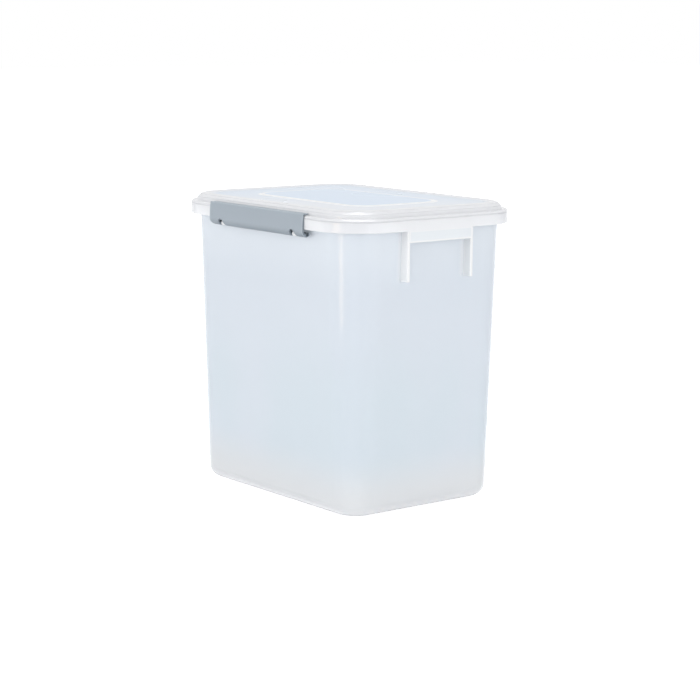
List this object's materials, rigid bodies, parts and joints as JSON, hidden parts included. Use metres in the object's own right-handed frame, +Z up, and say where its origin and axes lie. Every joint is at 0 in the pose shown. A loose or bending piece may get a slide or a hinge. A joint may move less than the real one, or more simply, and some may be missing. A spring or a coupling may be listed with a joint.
{
  "type": "airtight storage box",
  "caption": "Tall rectangular airtight food storage box in frosted clear plastic, with drafted walls, hand grips, a lift-off lid with a seal, and a long hinged clip on each long side.",
  "frame": {"origin": "middle of the underside, level with the foot band that the box stands on", "axes": "+X along the long side towards one hand grip, +Y across the box towards the rear clip, +Z up"},
  "size_m": [0.34, 0.265, 0.345],
  "materials": {
    "frosted_clear": "frosted natural polypropylene, see-through",
    "frosted_lid": "frosted natural polypropylene, see-through",
    "seal_rubber": "soft white silicone",
    "grey_clip": "satin blue-grey polypropylene"
  },
  "bodies": {
    "tub": {"tub": "frosted_clear"},
    "lid": {"lid": "frosted_lid", "lid_seal": "seal_rubber"},
    "front_clip": {"front_clip": "grey_clip"},
    "rear_clip": {"rear_clip": "grey_clip"}
  },
  "joints": [
    {"name": "lid_lift", "type": "slide", "parent": "tub", "child": "lid", "axis": [0, 0, 1], "range_m": [0, 0.014]},
    {"name": "front_clip_hinge", "type": "hinge", "parent": "tub", "child": "front_clip", "pos_m": [0, -0.1252, 0.315], "axis": [1, 0, 0], "range_deg": [0, 160]},
    {"name": "rear_clip_hinge", "type": "hinge", "parent": "tub", "child": "rear_clip", "pos_m": [0, 0.1252, 0.315], "axis": [-1, 0, 0], "range_deg": [0, 160]}
  ],
  "couplings": [
    {"joint": "front_clip_hinge", "follows": "lid_lift", "rad_per_m": 199.4},
    {"joint": "rear_clip_hinge", "follows": "lid_lift", "rad_per_m": 199.4}
  ]
}
